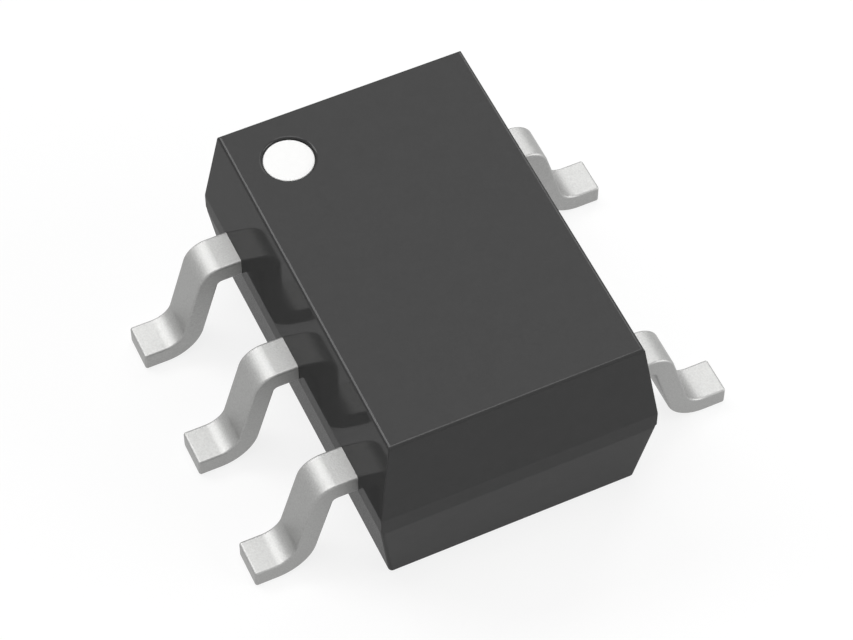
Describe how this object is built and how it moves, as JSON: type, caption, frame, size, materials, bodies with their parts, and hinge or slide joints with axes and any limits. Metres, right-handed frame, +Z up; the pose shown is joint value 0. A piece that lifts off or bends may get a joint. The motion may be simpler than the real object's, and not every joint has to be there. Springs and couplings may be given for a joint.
{
  "type": "bus switch ic",
  "caption": "Small surface-mount bus switch: a moulded plastic body with gull-wing leads that solder to a board, and a mark beside the first lead.",
  "frame": {"origin": "on the seating plane under the middle of the body, which is the bottom centre of the part's box", "axes": "+Z up out of the marked face, X across the leads with the side of three leads at -X, +Y along the body towards the marked end"},
  "size_m": [0.0024, 0.002, 0.001],
  "materials": {
    "mould_compound": "moulded epoxy with a fine satin surface",
    "tinned_leads": "copper alloy with matte tin plating",
    "die_adhesive": "silver-filled epoxy, matte",
    "silicon": "polished silicon",
    "gold_wire": "drawn gold",
    "white_ink": "matte white ink"
  },
  "bodies": {
    "root": {"mould_body": "mould_compound", "lead_1": "tinned_leads", "lead_2": "tinned_leads", "lead_3": "tinned_leads", "lead_4": "tinned_leads", "lead_5": "tinned_leads", "die_attach": "die_adhesive", "die": "silicon", "bond_wire_1": "gold_wire", "bond_wire_2": "gold_wire", "bond_wire_3": "gold_wire", "bond_wire_4": "gold_wire", "bond_wire_5": "gold_wire", "pin_1_mark": "white_ink"}
  },
  "joints": []
}
